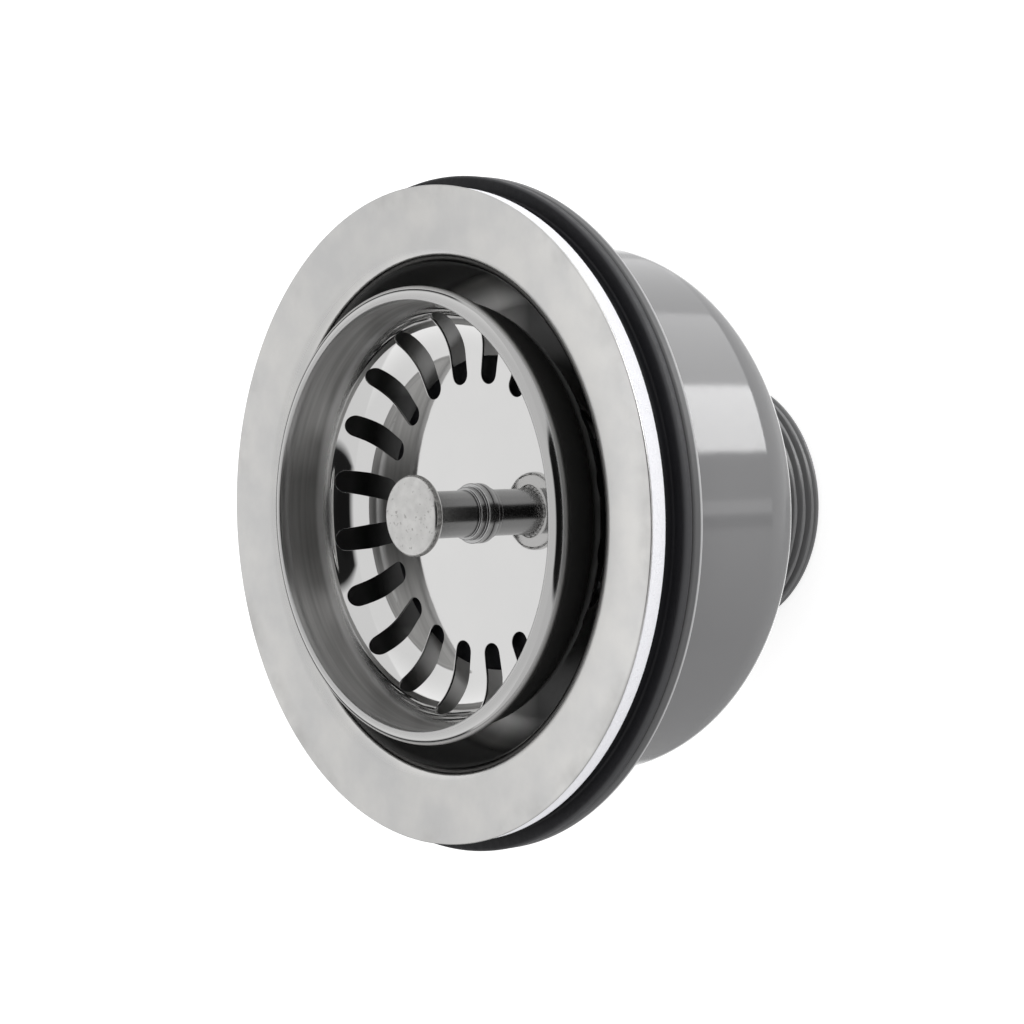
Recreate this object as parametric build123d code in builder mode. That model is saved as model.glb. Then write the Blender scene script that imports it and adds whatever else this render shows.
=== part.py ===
from build123d import *
from math import cos, radians, sin, tan
import os

# A kitchen sink basket strainer waste, standing on its outlet with the flange on top.
# The axis of every turned, pressed and moulded piece is Z, and z = 0 is the outlet's end.
# Lengths are millimetres and angles are degrees.

# Steel flange and dish
MOUTH_RADIUS = 43.6
FLANGE_WIDTH = 13.4
FLANGE_FALL = 1.1
DISH_SHEET = 0.5
DISH_DEPTH = 26.0
DISH_TAPER = 0.5
MOUTH_ROLL = 3.8
DISH_CORNER = 6.0
WELL_RADIUS = 22.0
WELL_DEPTH = 7.0
WELL_EDGE = 1.6
DRAIN_RIM = 2.6
DRAIN_BAR = 5.0
DRAIN_CORNER = 1.5
ARM_COUNT = 4
ARM_START = 45.0

# Foam washer and rubber gasket
FOAM_THICKNESS = 3.0
FOAM_SETBACK = 0.2
FOAM_CLEARANCE = 1.0
GASKET_BASE = 2.0
GASKET_BEAD = 2.1
GASKET_OVERHANG = 1.9
GASKET_EDGE = 0.7
BEAD_SETBACK = 0.5
BEAD_INSET = 3.1

# Grey plastic body
BODY_CLEARANCE = 1.7
BODY_WALL = 2.4
LIP_THICKNESS = 2.2
LIP_EDGE = 0.5
SHOULDER = 13.0
BOTTOM_SLOPE = 22.0
OUTLET_RADIUS = 23.9
OUTLET_WALL = 3.3
OUTLET_LENGTH = 21.6
OUTLET_CHAMFER = 1.0
OUTLET_NECK = 1.5
HUB_RISE = 0.4
HUB_HEIGHT = 17.0
HUB_WALL = 1.6
HUB_ROOF = 2.0
RIB_THICKNESS = 3.0
RIB_HEIGHT = 12.0
CLAMP_GAP = 4.5

# Brass insert and hollow clamp bolt
INSERT_WALL = 2.0
INSERT_FLANGE = 1.6
INSERT_FLANGE_HEIGHT = 2.0
BOLT_WALL = 2.1
BOLT_TAIL = 3.0
BOLT_HEAD_OVERHANG = 3.0
BOLT_HEAD_HEIGHT = 2.8
BOLT_HEAD_EDGE = 0.8
BOLT_MOUTH = 0.6
DRIVER_SLOT_WIDTH = 1.8
DRIVER_SLOT_DEPTH = 1.2

# Basket, held raised above the stopper's seat
RAISED_LIFT = 7.5
BASKET_GAP = 3.9
BASKET_SHEET = 0.6
BASKET_HEIGHT = 16.2
BASKET_CORNER = 8.6
RIM_ROLL = 1.3
RIM_WRAP = 40.0
SLOT_COUNT = 20
SLOT_WIDTH = 4.1
SLOT_REACH = 5.3
SLOT_CLIMB = 47.0
SLOT_START = 8.0

# Knob post
POST_WALL = 2.1
POST_HEIGHT = 14.9
POST_STEP = 0.55
POST_STEP_HEIGHT = 1.3
POST_FOOT = 0.65
POST_FOOT_HEIGHT = 1.2
KNOB_OVERHANG = 2.95
KNOB_THICKNESS = 2.0
KNOB_EDGE = 0.7
KNOB_NECK = 0.8

# Rubber stopper and its backing plate
SEAL_OVERLAP = 6.0
SEAL_HEIGHT = 5.6
SEAL_SKIRT = 9.0
SEAL_DROOP = 2.5
SEAL_CORE = 3.4
SEAL_LIP = 3.5
SEAL_EDGE = 0.7
PLATE_SETBACK = 3.0
PLATE_THICKNESS = 1.2

# Stem and its catch ring
STEM_RADIUS = 2.4
STEM_REACH = 26.0
STEM_POINT = 0.8
STEM_COLLAR = 1.8
STEM_COLLAR_HEIGHT = 2.5
SPIGOT_STEP = 0.4
SPIGOT_LENGTH = 7.5
RING_SETBACK = 4.0
RING_HEIGHT = 0.9
RING_EDGE = 0.2
GROOVE_DEPTH = 0.45

# Clearances
FIT = 0.05
RING_FIT = 0.1
HOLE_CLEARANCE = 0.2
STEM_CLEARANCE = 0.5
DRAIN_CLEARANCE = 1.6

# Heights, stacked up from the outlet's end
hub_base = OUTLET_LENGTH + HUB_RISE
hub_top = hub_base + HUB_HEIGHT
well_floor = hub_top + CLAMP_GAP + DISH_SHEET
seat_height = well_floor + WELL_DEPTH
flange_height = seat_height + DISH_DEPTH
foam_top = flange_height - DISH_SHEET
foam_bottom = foam_top - FOAM_THICKNESS
gasket_face = foam_bottom - GASKET_BEAD
lip_top = gasket_face - GASKET_BASE
seal_bottom = seat_height + RAISED_LIFT
basket_under = seal_bottom + SEAL_HEIGHT
basket_floor = basket_under + BASKET_SHEET
plate_top = basket_under - SEAL_CORE
collar_top = plate_top - PLATE_THICKNESS
collar_bottom = collar_top - STEM_COLLAR_HEIGHT
stem_end = collar_bottom - STEM_REACH

# Radii, from the stem out to the flange
spigot_radius = STEM_RADIUS - SPIGOT_STEP
spigot_hole_radius = spigot_radius + FIT
bolt_bore_radius = STEM_RADIUS + STEM_CLEARANCE
bolt_radius = bolt_bore_radius + BOLT_WALL
bolt_hole_radius = bolt_radius + HOLE_CLEARANCE
bolt_head_radius = bolt_radius + BOLT_HEAD_OVERHANG
insert_radius = bolt_radius + FIT + INSERT_WALL
insert_flange_radius = insert_radius + INSERT_FLANGE
hub_radius = insert_flange_radius + HUB_WALL
seal_radius = WELL_RADIUS + SEAL_OVERLAP
outlet_bore = OUTLET_RADIUS - OUTLET_WALL
basket_radius = MOUTH_RADIUS - BASKET_GAP - 2 * RIM_ROLL
body_inner_radius = MOUTH_RADIUS + DISH_SHEET + BODY_CLEARANCE
body_radius = body_inner_radius + BODY_WALL
flange_radius = MOUTH_RADIUS + FLANGE_WIDTH
foam_radius = flange_radius - FOAM_SETBACK
lip_radius = flange_radius + GASKET_OVERHANG

# Ways to stand a cylinder or a box on its place, or to hang it from there
STANDING = (Align.CENTER, Align.CENTER, Align.MIN)
HANGING = (Align.CENTER, Align.CENTER, Align.MAX)

os.makedirs("parts", exist_ok=True)

# Flange and dish: one sheet, drawn from the flange's rim over the rolled mouth and down to the well
drain_inner_radius = bolt_head_radius + DRAIN_CLEARANCE
drain_outer_radius = WELL_RADIUS - DISH_TAPER - DRAIN_RIM
with BuildPart() as top_flange:
    with BuildSketch(Plane.XZ):
        with BuildLine():
            FilletPolyline(
                (flange_radius, flange_height),
                (MOUTH_RADIUS, flange_height - FLANGE_FALL),
                (MOUTH_RADIUS - DISH_TAPER, seat_height),
                (WELL_RADIUS, seat_height),
                (WELL_RADIUS - DISH_TAPER, well_floor),
                (bolt_hole_radius, well_floor),
                radius=[MOUTH_ROLL, DISH_CORNER, WELL_EDGE, WELL_EDGE],
            )
            offset(amount=DISH_SHEET, side=Side.LEFT)
        make_face()
    revolve(axis=Axis.Z)
    # Drain openings, which leave a cross of bars round the bolt hole
    with BuildSketch(Plane.XY.offset(well_floor)) as drains:
        Circle(drain_outer_radius)
        Circle(drain_inner_radius, mode=Mode.SUBTRACT)
        with PolarLocations(0, ARM_COUNT, start_angle=ARM_START):
            Rectangle(WELL_RADIUS, DRAIN_BAR, align=(Align.MIN, Align.CENTER), mode=Mode.SUBTRACT)
        fillet(drains.vertices(), DRAIN_CORNER)
    extrude(amount=DISH_SHEET, both=True, mode=Mode.SUBTRACT)
top_flange.part.label = "top_flange"
export_step(top_flange.part, "parts/top_flange.step")

# Foam washer: its top follows the flange's fall, its underside is flat
foam_inner_radius = MOUTH_RADIUS + MOUTH_ROLL + FOAM_CLEARANCE
flange_slope = FLANGE_FALL / FLANGE_WIDTH
foam_inner_top = foam_top - FIT - (flange_radius - foam_inner_radius) * flange_slope
foam_outer_top = foam_top - FIT - FOAM_SETBACK * flange_slope
with BuildPart() as foam_washer:
    with BuildSketch(Plane.XZ):
        with BuildLine():
            Polyline(
                (foam_inner_radius, foam_bottom),
                (foam_radius, foam_bottom),
                (foam_radius, foam_outer_top),
                (foam_inner_radius, foam_inner_top),
                close=True,
            )
        make_face()
    revolve(axis=Axis.Z)
foam_washer.part.label = "foam_washer"
export_step(foam_washer.part, "parts/foam_washer.step")

# Rubber gasket: a flat ring on the lip, with a raised bead under the foam
bead_inner_radius = body_inner_radius + BEAD_INSET
bead_outer_radius = foam_radius - BEAD_SETBACK
with BuildPart() as rubber_gasket:
    with BuildSketch(Plane.XZ):
        with BuildLine():
            Polyline(
                (body_inner_radius, lip_top),
                (lip_radius, lip_top),
                (lip_radius, gasket_face),
                (bead_outer_radius, gasket_face),
                (bead_outer_radius, foam_bottom),
                (bead_inner_radius, foam_bottom),
                (bead_inner_radius, gasket_face),
                (body_inner_radius, gasket_face),
                close=True,
            )
        gasket_section = make_face()
        bead_corners = gasket_section.vertices().group_by(Axis.Y)[-1]
        rim_corners = gasket_section.vertices().group_by(Axis.X)[-1]
        fillet(bead_corners + rim_corners, GASKET_EDGE)
    revolve(axis=Axis.Z)
rubber_gasket.part.label = "rubber_gasket"
export_step(rubber_gasket.part, "parts/rubber_gasket.step")

# Plastic body: lip, straight wall, rounded shoulder, sloping bottom and outlet tube in one moulding
slope = tan(radians(BOTTOM_SLOPE))
outer_corner = OUTLET_LENGTH + (body_radius - OUTLET_RADIUS) * slope
inner_corner = outer_corner + BODY_WALL / cos(radians(BOTTOM_SLOPE)) - BODY_WALL * slope
bore_top = inner_corner - (body_inner_radius - outlet_bore) * slope
with BuildPart() as shell_form:
    with BuildSketch(Plane.XZ):
        with BuildLine():
            outside = FilletPolyline(
                (body_radius, lip_top),
                (body_radius, outer_corner),
                (OUTLET_RADIUS, OUTLET_LENGTH),
                (OUTLET_RADIUS, 0),
                radius=[SHOULDER, OUTLET_NECK],
            )
            Polyline(outside @ 1, (0, 0), (0, lip_top), outside @ 0)
        make_face()
    revolve(axis=Axis.Z)
with BuildPart() as chamber_form:
    with BuildSketch(Plane.XZ):
        with BuildLine():
            inside = FilletPolyline(
                (body_inner_radius, lip_top),
                (body_inner_radius, inner_corner),
                (outlet_bore, bore_top),
                (outlet_bore, 0),
                radius=[SHOULDER - BODY_WALL, OUTLET_NECK],
            )
            Polyline(inside @ 1, (0, 0), (0, lip_top), inside @ 0)
        make_face()
    revolve(axis=Axis.Z)
with BuildPart() as hub_form:
    with Locations((0, 0, hub_base)):
        Cylinder(hub_radius, HUB_HEIGHT, align=STANDING)
        with PolarLocations(0, ARM_COUNT, start_angle=ARM_START):
            Box(body_radius, RIB_THICKNESS, RIB_HEIGHT, align=(Align.MIN, Align.CENTER, Align.MIN))
    add(shell_form.part, mode=Mode.INTERSECT)
with BuildPart() as waste_body:
    add(shell_form.part)
    with Locations((0, 0, lip_top)):
        Cylinder(lip_radius, LIP_THICKNESS, align=HANGING)
    lip_rims = waste_body.edges().filter_by(GeomType.CIRCLE).sort_by(SortBy.RADIUS)[-2:]
    fillet(lip_rims, LIP_EDGE)
    add(chamber_form.part, mode=Mode.SUBTRACT)
    outlet_rims = waste_body.edges().filter_by(GeomType.CIRCLE).group_by(Axis.Z)[0]
    chamfer(outlet_rims.sort_by(SortBy.RADIUS)[-1], OUTLET_CHAMFER)
    add(hub_form.part)
    # Stepped pocket for the insert, open below, and the bolt's way through the roof of the hub
    with Locations((0, 0, hub_base)):
        Cylinder(insert_flange_radius + FIT, INSERT_FLANGE_HEIGHT, align=STANDING, mode=Mode.SUBTRACT)
        Cylinder(insert_radius + FIT, HUB_HEIGHT - HUB_ROOF, align=STANDING, mode=Mode.SUBTRACT)
        Cylinder(bolt_hole_radius, HUB_HEIGHT, align=STANDING, mode=Mode.SUBTRACT)
waste_body.part.label = "waste_body"
export_step(waste_body.part, "parts/waste_body.step")

# Brass insert: a flanged nut, seated in the hub from below so that the bolt can't pull it through
with BuildPart() as threaded_insert:
    with Locations((0, 0, hub_base)):
        Cylinder(insert_flange_radius, INSERT_FLANGE_HEIGHT, align=STANDING)
        Cylinder(insert_radius, HUB_HEIGHT - HUB_ROOF, align=STANDING)
        Cylinder(bolt_radius + FIT, HUB_HEIGHT - HUB_ROOF, align=STANDING, mode=Mode.SUBTRACT)
threaded_insert.part.label = "threaded_insert"
export_step(threaded_insert.part, "parts/threaded_insert.step")

# Clamp bolt: hollow, slotted for a driver, its bore a guide for the stem
bolt_end = hub_base + BOLT_TAIL
head_top = well_floor + BOLT_HEAD_HEIGHT
with BuildPart() as clamp_bolt:
    with BuildSketch(Plane.XZ):
        with BuildLine():
            Polyline(
                (bolt_bore_radius, bolt_end),
                (bolt_radius, bolt_end),
                (bolt_radius, well_floor),
                (bolt_head_radius, well_floor),
                (bolt_head_radius, head_top - BOLT_HEAD_EDGE),
                (bolt_head_radius - BOLT_HEAD_EDGE, head_top),
                (bolt_bore_radius + BOLT_MOUTH, head_top),
                (bolt_bore_radius, head_top - BOLT_MOUTH),
                close=True,
            )
        make_face()
    revolve(axis=Axis.Z)
    with Locations((0, 0, head_top)):
        Box(2 * bolt_head_radius, DRIVER_SLOT_WIDTH, DRIVER_SLOT_DEPTH, align=HANGING, mode=Mode.SUBTRACT)
clamp_bolt.part.label = "clamp_bolt"
export_step(clamp_bolt.part, "parts/clamp_bolt.step")

# Basket slot: cut square to the sheet, along the flat floor and some way up the rounded corner
floor_flat_radius = basket_radius - BASKET_CORNER
corner_height = basket_floor + BASKET_CORNER
corner_centre = (floor_flat_radius, corner_height)
slot_half = SLOT_WIDTH / 2
slot_end_radius = floor_flat_radius - SLOT_REACH + slot_half
cut_inside = BASKET_CORNER - BASKET_SHEET
cut_outside = BASKET_CORNER + 2 * BASKET_SHEET
climb = radians(SLOT_CLIMB)
climbed_end = (floor_flat_radius + cut_inside * sin(climb), 0, corner_height - cut_inside * cos(climb))
with BuildPart() as slot_form:
    with BuildSketch(Plane.XZ):
        with BuildLine():
            near = CenterArc(corner_centre, cut_inside, -90, SLOT_CLIMB)
            far = CenterArc(corner_centre, cut_outside, -90, SLOT_CLIMB)
            Line(near @ 1, far @ 1)
            Polyline(
                near @ 0,
                (slot_end_radius, corner_height - cut_inside),
                (slot_end_radius, corner_height - cut_outside),
                far @ 0,
            )
        make_face()
    extrude(amount=slot_half, both=True)
    with Locations((slot_end_radius, 0, corner_height - cut_inside)):
        Cylinder(slot_half, cut_outside - cut_inside, align=HANGING)
    with Locations(Location(climbed_end, (0, -SLOT_CLIMB, 0))):
        Cylinder(slot_half, cut_outside - cut_inside, align=HANGING)

# Basket: a drawn bowl of polished sheet, its rim rolled outwards and down
roll_height = basket_floor + BASKET_HEIGHT - RIM_ROLL
with BuildPart() as basket:
    with BuildSketch(Plane.XZ):
        with BuildLine():
            Line((spigot_hole_radius, basket_floor), (floor_flat_radius, basket_floor))
            CenterArc(corner_centre, BASKET_CORNER, -90, 90)
            Line((basket_radius, corner_height), (basket_radius, roll_height))
            CenterArc((basket_radius + RIM_ROLL, roll_height), RIM_ROLL, 180, -(180 + RIM_WRAP))
            offset(amount=BASKET_SHEET, side=Side.RIGHT)
        make_face()
    revolve(axis=Axis.Z)
    with PolarLocations(0, SLOT_COUNT, start_angle=SLOT_START):
        add(slot_form.part, mode=Mode.SUBTRACT)
basket.part.label = "basket"
export_step(basket.part, "parts/basket.step")

# Knob post: turned from bar, with a stepped foot on the basket's floor and a disc for the fingers
post_radius = spigot_hole_radius + POST_WALL
step_radius = post_radius + POST_STEP
foot_radius = step_radius + POST_FOOT
knob_radius = post_radius + KNOB_OVERHANG
post_top = basket_floor + POST_HEIGHT
knob_under = post_top - KNOB_THICKNESS
foot_top = basket_floor + POST_FOOT_HEIGHT
step_top = foot_top + POST_STEP_HEIGHT
with BuildPart() as knob_post:
    with BuildSketch(Plane.XZ):
        with BuildLine():
            Polyline(
                (0, basket_floor),
                (foot_radius, basket_floor),
                (foot_radius, foot_top),
                (step_radius, foot_top),
                (step_radius, step_top),
                (post_radius, step_top),
                (post_radius, knob_under),
                (knob_radius, knob_under),
                (knob_radius, post_top),
                (0, post_top),
                close=True,
            )
        post_section = make_face()
        neck_corner = post_section.vertices().sort_by_distance((post_radius, knob_under))[0]
        knob_corners = post_section.vertices().group_by(Axis.X)[-1]
        fillet(neck_corner, KNOB_NECK)
        fillet(knob_corners, KNOB_EDGE)
    revolve(axis=Axis.Z)
    with Locations((0, 0, basket_floor)):
        Cylinder(spigot_hole_radius, SPIGOT_LENGTH + HOLE_CLEARANCE, align=STANDING, mode=Mode.SUBTRACT)
knob_post.part.label = "knob_post"
export_step(knob_post.part, "parts/knob_post.step")

# Stopper seal: a rubber disc with a drooping skirt, whose lip presses on the dish's seat
seal_flat_radius = seal_radius - SEAL_SKIRT
with BuildPart() as stopper_seal:
    with BuildSketch(Plane.XZ):
        with BuildLine():
            Polyline(
                (spigot_hole_radius, basket_under),
                (seal_flat_radius, basket_under),
                (seal_radius, basket_under - SEAL_DROOP),
                (seal_radius, seal_bottom),
                (seal_radius - SEAL_LIP, seal_bottom),
                (seal_flat_radius, plate_top),
                (spigot_hole_radius, plate_top),
                close=True,
            )
        seal_section = make_face()
        fillet(seal_section.vertices().group_by(Axis.X)[-1], SEAL_EDGE)
    revolve(axis=Axis.Z)
stopper_seal.part.label = "stopper_seal"
export_step(stopper_seal.part, "parts/stopper_seal.step")

# Backing plate, which spreads the clamping force over the rubber
with BuildPart() as seal_plate:
    with Locations((0, 0, plate_top)):
        Cylinder(seal_flat_radius - PLATE_SETBACK, PLATE_THICKNESS, align=HANGING)
        Cylinder(spigot_hole_radius, PLATE_THICKNESS, align=HANGING, mode=Mode.SUBTRACT)
seal_plate.part.label = "seal_plate"
export_step(seal_plate.part, "parts/seal_plate.step")

# Stem: its spigot screws up into the post, its collar clamps the stack, its pin slides in the bolt
ring_centre = stem_end + RING_SETBACK
groove_half = RING_HEIGHT / 2 + FIT
groove_radius = STEM_RADIUS - GROOVE_DEPTH
spigot_top = basket_floor + SPIGOT_LENGTH
with BuildPart() as stem:
    with BuildSketch(Plane.XZ):
        with BuildLine():
            Polyline(
                (0, stem_end),
                (STEM_RADIUS - STEM_POINT, stem_end),
                (STEM_RADIUS, stem_end + STEM_POINT),
                (STEM_RADIUS, ring_centre - groove_half),
                (groove_radius, ring_centre - groove_half),
                (groove_radius, ring_centre + groove_half),
                (STEM_RADIUS, ring_centre + groove_half),
                (STEM_RADIUS, collar_bottom),
                (STEM_RADIUS + STEM_COLLAR, collar_bottom),
                (STEM_RADIUS + STEM_COLLAR, collar_top),
                (spigot_radius, collar_top),
                (spigot_radius, spigot_top),
                (0, spigot_top),
                close=True,
            )
        make_face()
    revolve(axis=Axis.Z)
stem.part.label = "stem"
export_step(stem.part, "parts/stem.step")

# Catch ring: a small rubber ring in the stem's groove, which rubs on the bolt's bore
ring_inner_radius = groove_radius + FIT
ring_width = bolt_bore_radius - RING_FIT - ring_inner_radius
with BuildPart() as catch_ring:
    with BuildSketch(Plane.XZ):
        with Locations((ring_inner_radius + ring_width / 2, ring_centre)):
            RectangleRounded(ring_width, RING_HEIGHT, RING_EDGE)
    revolve(axis=Axis.Z)
catch_ring.part.label = "catch_ring"
export_step(catch_ring.part, "parts/catch_ring.step")
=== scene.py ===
from math import asin, atan2, ceil, cos, floor, hypot, pi, radians, sin, tan

import bpy
from mathutils import Matrix, Vector


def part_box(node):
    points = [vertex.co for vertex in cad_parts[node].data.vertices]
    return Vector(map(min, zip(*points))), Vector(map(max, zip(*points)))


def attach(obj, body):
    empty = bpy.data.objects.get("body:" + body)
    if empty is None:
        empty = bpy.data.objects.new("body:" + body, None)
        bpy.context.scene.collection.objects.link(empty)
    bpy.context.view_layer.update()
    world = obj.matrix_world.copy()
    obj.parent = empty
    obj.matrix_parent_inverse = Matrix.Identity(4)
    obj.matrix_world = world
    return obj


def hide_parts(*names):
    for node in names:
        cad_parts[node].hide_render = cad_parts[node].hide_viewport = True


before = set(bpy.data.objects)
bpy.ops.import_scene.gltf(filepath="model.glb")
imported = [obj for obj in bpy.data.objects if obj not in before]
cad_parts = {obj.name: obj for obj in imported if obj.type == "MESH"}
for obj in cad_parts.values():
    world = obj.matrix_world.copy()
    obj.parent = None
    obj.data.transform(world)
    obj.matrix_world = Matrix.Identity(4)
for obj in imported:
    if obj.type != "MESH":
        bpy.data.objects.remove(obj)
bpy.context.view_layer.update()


# Waste body: the grey bowl that hangs under the sink, one glossy injection moulding. Its lip, which
# carries the gasket, has painted shade and a painted highlight along its lower edge. Its shoulder
# rounds into a sloping bottom, and the matt thread on its outlet, which takes the nut of the trap,
# is painted darker as shade.
MM = 0.001
AROUND = 240
ROUND_STEP = radians(8)
WELD_DIGITS = 5
TOLERANCE = 0.001
NOISE_ROUGHNESS = 0.55
NOISE_LOW = 0.3
NOISE_HIGH = 0.7
MIX_FIRST = 6
MIX_SECOND = 7
MIX_RESULT = 2


class Skin:
    """A mesh gathered from rows of points, in millimetres. Each point has its own normal."""

    def __init__(self):
        self.points = []
        self.normals = []
        self.faces = []
        self.places = {}

    def point(self, place, normal):
        """The number of the point at this place, which neighbouring rows share."""
        key = tuple(round(value, WELD_DIGITS) for value in place)
        if key not in self.places:
            self.places[key] = len(self.points)
            self.points.append(Vector(place) * MM)
            self.normals.append(Vector(normal).normalized())
        return self.places[key]

    def face(self, corners):
        """One face, turned to look the way its points' normals do."""
        ring = list(dict.fromkeys(corners))
        if len(ring) < 3:
            return
        outward = sum((self.normals[k] for k in ring), Vector())
        first = self.points[ring[0]]
        looks = (self.points[ring[len(ring) // 2]] - first).cross(self.points[ring[-1]] - first)
        if looks.dot(outward) < 0:
            ring.reverse()
        self.faces.append(ring)

    def cover(self, rows, closed=False):
        """Faces between each row of (place, normal) and the next. Every row is a loop."""
        numbers = [[self.point(*entry) for entry in row] for row in rows]
        if closed:
            numbers.append(numbers[0])
        for row, above in zip(numbers, numbers[1:]):
            for k in range(len(row)):
                self.face((row[k - 1], row[k], above[k], above[k - 1]))
        return numbers

    def spin(self, outline, closed=False, around=AROUND, start=0.0, warp=None):
        """Turn an outline of (radius, height, normal's radius, normal's height) about the Z axis."""
        rows = []
        for radius, height, out, up in outline:
            row = []
            for k in range(around):
                angle = start + 2 * pi * k / around
                reach, swing, rise = warp(radius, height, angle) if warp else (radius, 0.0, 0.0)
                along = Vector((cos(angle), sin(angle), 0))
                across = Vector((-along.y, along.x, 0))
                place = along * reach + Vector((0, 0, height))
                row.append((place, along * out + across * swing + Vector((0, 0, up + rise))))
            rows.append(row)
        self.cover(rows, closed)

    def build(self, name, material, body, node=None):
        """The finished piece, riding on its body and standing for its CAD node."""
        mesh = bpy.data.meshes.new(name)
        mesh.from_pydata(self.points, [], self.faces)
        mesh.shade_smooth()
        mesh.normals_split_custom_set_from_vertices(self.normals)
        mesh.materials.append(material)
        piece = bpy.data.objects.new(name, mesh)
        bpy.context.scene.collection.objects.link(piece)
        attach(piece, body)
        if node:
            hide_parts(node)
        return piece


def rounded(corners, closed=True):
    """An outline from corners (radius, height, rounding). The solid is on the left of its way."""
    outline = []
    last = len(corners) - 1
    for k, (radius, height, rounding) in enumerate(corners):
        here = Vector((radius, height))
        back = (Vector(corners[k - 1][:2]) - here).normalized()
        on = (Vector(corners[(k + 1) % len(corners)][:2]) - here).normalized()
        if not closed and k == 0:
            outline.append((radius, height, on.y, -on.x))
            continue
        if rounding == 0 or (not closed and k == last):
            outline.append((radius, height, -back.y, back.x))
            continue
        inside = back.angle(on)
        bend = pi - inside
        turn = 1 if back.cross(on) < 0 else -1
        centre = here + (back + on).normalized() * rounding / sin(inside / 2)
        first = (here + back * rounding / tan(inside / 2) - centre) / rounding
        steps = max(2, ceil(bend / ROUND_STEP))
        for step in range(steps + 1):
            spoke = Matrix.Rotation(turn * bend * step / steps, 2) @ first
            place = centre + spoke * rounding
            outline.append((place.x, place.y, spoke.x * turn, spoke.y * turn))
    return outline


def box_mm(node):
    """A node's lowest and highest corners, in millimetres."""
    low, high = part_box(node)
    return Vector(low) / MM, Vector(high) / MM


def add_node(tree, kind, values=None, **settings):
    """A shader node with these settings and input values."""
    node = tree.nodes.new(kind)
    for name, value in settings.items():
        setattr(node, name, value)
    for name, value in (values or {}).items():
        node.inputs[name].default_value = value
    return node


def finish(name, colour, metallic, roughness):
    """A material, its node tree and its main shader."""
    material = bpy.data.materials.new(name)
    material.use_nodes = True
    tree = material.node_tree
    shader = tree.nodes["Principled BSDF"]
    shader.inputs["Base Color"].default_value = (*colour, 1.0)
    shader.inputs["Metallic"].default_value = metallic
    shader.inputs["Roughness"].default_value = roughness
    return material, tree, shader


def grain(tree, scale, detail=3.0):
    """Noise over the object's own coordinates, with this many features to the metre."""
    place = add_node(tree, "ShaderNodeTexCoord")
    values = {"Scale": scale, "Detail": detail, "Roughness": NOISE_ROUGHNESS}
    noise = add_node(tree, "ShaderNodeTexNoise", values)
    tree.links.new(place.outputs["Object"], noise.inputs["Vector"])
    return noise.outputs["Fac"]


def spread(tree, value, low, high, start=NOISE_LOW, end=NOISE_HIGH):
    """A value stretched, from between start and end, to run from low to high."""
    ends = {"From Min": start, "From Max": end, "To Min": low, "To Max": high}
    node = add_node(tree, "ShaderNodeMapRange", ends)
    tree.links.new(value, node.inputs["Value"])
    return node.outputs["Result"]


def rising(tree, value, start, end):
    """0 up to the start, 1 from the end on, and a straight line between them."""
    return spread(tree, value, 0.0, 1.0, start, end)


def falling(tree, value, start, end):
    """1 up to the start, 0 from the end on, and a straight line between them."""
    return spread(tree, value, 1.0, 0.0, start, end)


def blend(tree, value, first, second):
    """A colour between two colours, by a value."""
    mix = add_node(tree, "ShaderNodeMix", data_type="RGBA")
    for number, colour in ((MIX_FIRST, first), (MIX_SECOND, second)):
        if isinstance(colour, tuple):
            mix.inputs[number].default_value = (*colour, 1.0)
        else:
            tree.links.new(colour, mix.inputs[number])
    tree.links.new(value, mix.inputs[0])
    return mix.outputs[MIX_RESULT]


def bumps(tree, shader, value, height):
    """Raise the surface by a value, up to this height in metres."""
    bump = add_node(tree, "ShaderNodeBump", {"Strength": 1.0, "Distance": height})
    tree.links.new(value, bump.inputs["Height"])
    tree.links.new(bump.outputs["Normal"], shader.inputs["Normal"])


def from_axis(tree):
    """The way from the Z axis straight out to a point of the surface, in metres."""
    place = add_node(tree, "ShaderNodeTexCoord")
    flat = add_node(tree, "ShaderNodeVectorMath", {1: (1.0, 1.0, 0.0)}, operation="MULTIPLY")
    tree.links.new(place.outputs["Object"], flat.inputs[0])
    return flat.outputs["Vector"]


def radius_of(tree):
    """How far a point of the surface is from the Z axis, in metres."""
    length = add_node(tree, "ShaderNodeVectorMath", operation="LENGTH")
    tree.links.new(from_axis(tree), length.inputs[0])
    return length.outputs["Value"]


def coordinate(tree, axis):
    """Where a point of the surface lies along X, Y or Z in the part at rest, in metres."""
    place = add_node(tree, "ShaderNodeTexCoord")
    split = add_node(tree, "ShaderNodeSeparateXYZ")
    tree.links.new(place.outputs["Object"], split.inputs["Vector"])
    return split.outputs[axis]


def height_above(tree):
    """How high a point of the surface is above the floor at rest, in metres."""
    return coordinate(tree, "Z")


def calculate(tree, operation, *values):
    """A number worked out from sockets and plain numbers."""
    node = add_node(tree, "ShaderNodeMath", operation=operation)
    for socket, value in zip(node.inputs, values):
        if isinstance(value, (int, float)):
            socket.default_value = value
        else:
            tree.links.new(value, socket)
    return node.outputs[0]


body_high = box_mm("waste_body")[1]
lip_radius = body_high.x
lip_top = body_high.z
LIP_THICKNESS = 2.2
LIP_EDGE = 0.5
LIP_ROOT = 0.6
BODY_RADIUS = 48.2
BODY_WALL = 2.4
SHOULDER = 13.0
BOTTOM_SLOPE = radians(22)
OUTLET_RADIUS = 23.9
OUTLET_WALL = 3.3
OUTLET_LENGTH = 21.6
OUTLET_CHAMFER = 1.0
OUTLET_NECK = 1.5
SOFT_EDGE = 0.2
THREAD_PITCH = 2.309
THREAD_DEPTH = 1.3
THREAD_START = 1.4
THREAD_END = 18.0
THREAD_FADE = 1.2
THREAD_CREST = 0.30
THREAD_FLANK = 0.20
THREAD_ROWS = 14
SLOPE_STEP = 0.01

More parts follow.
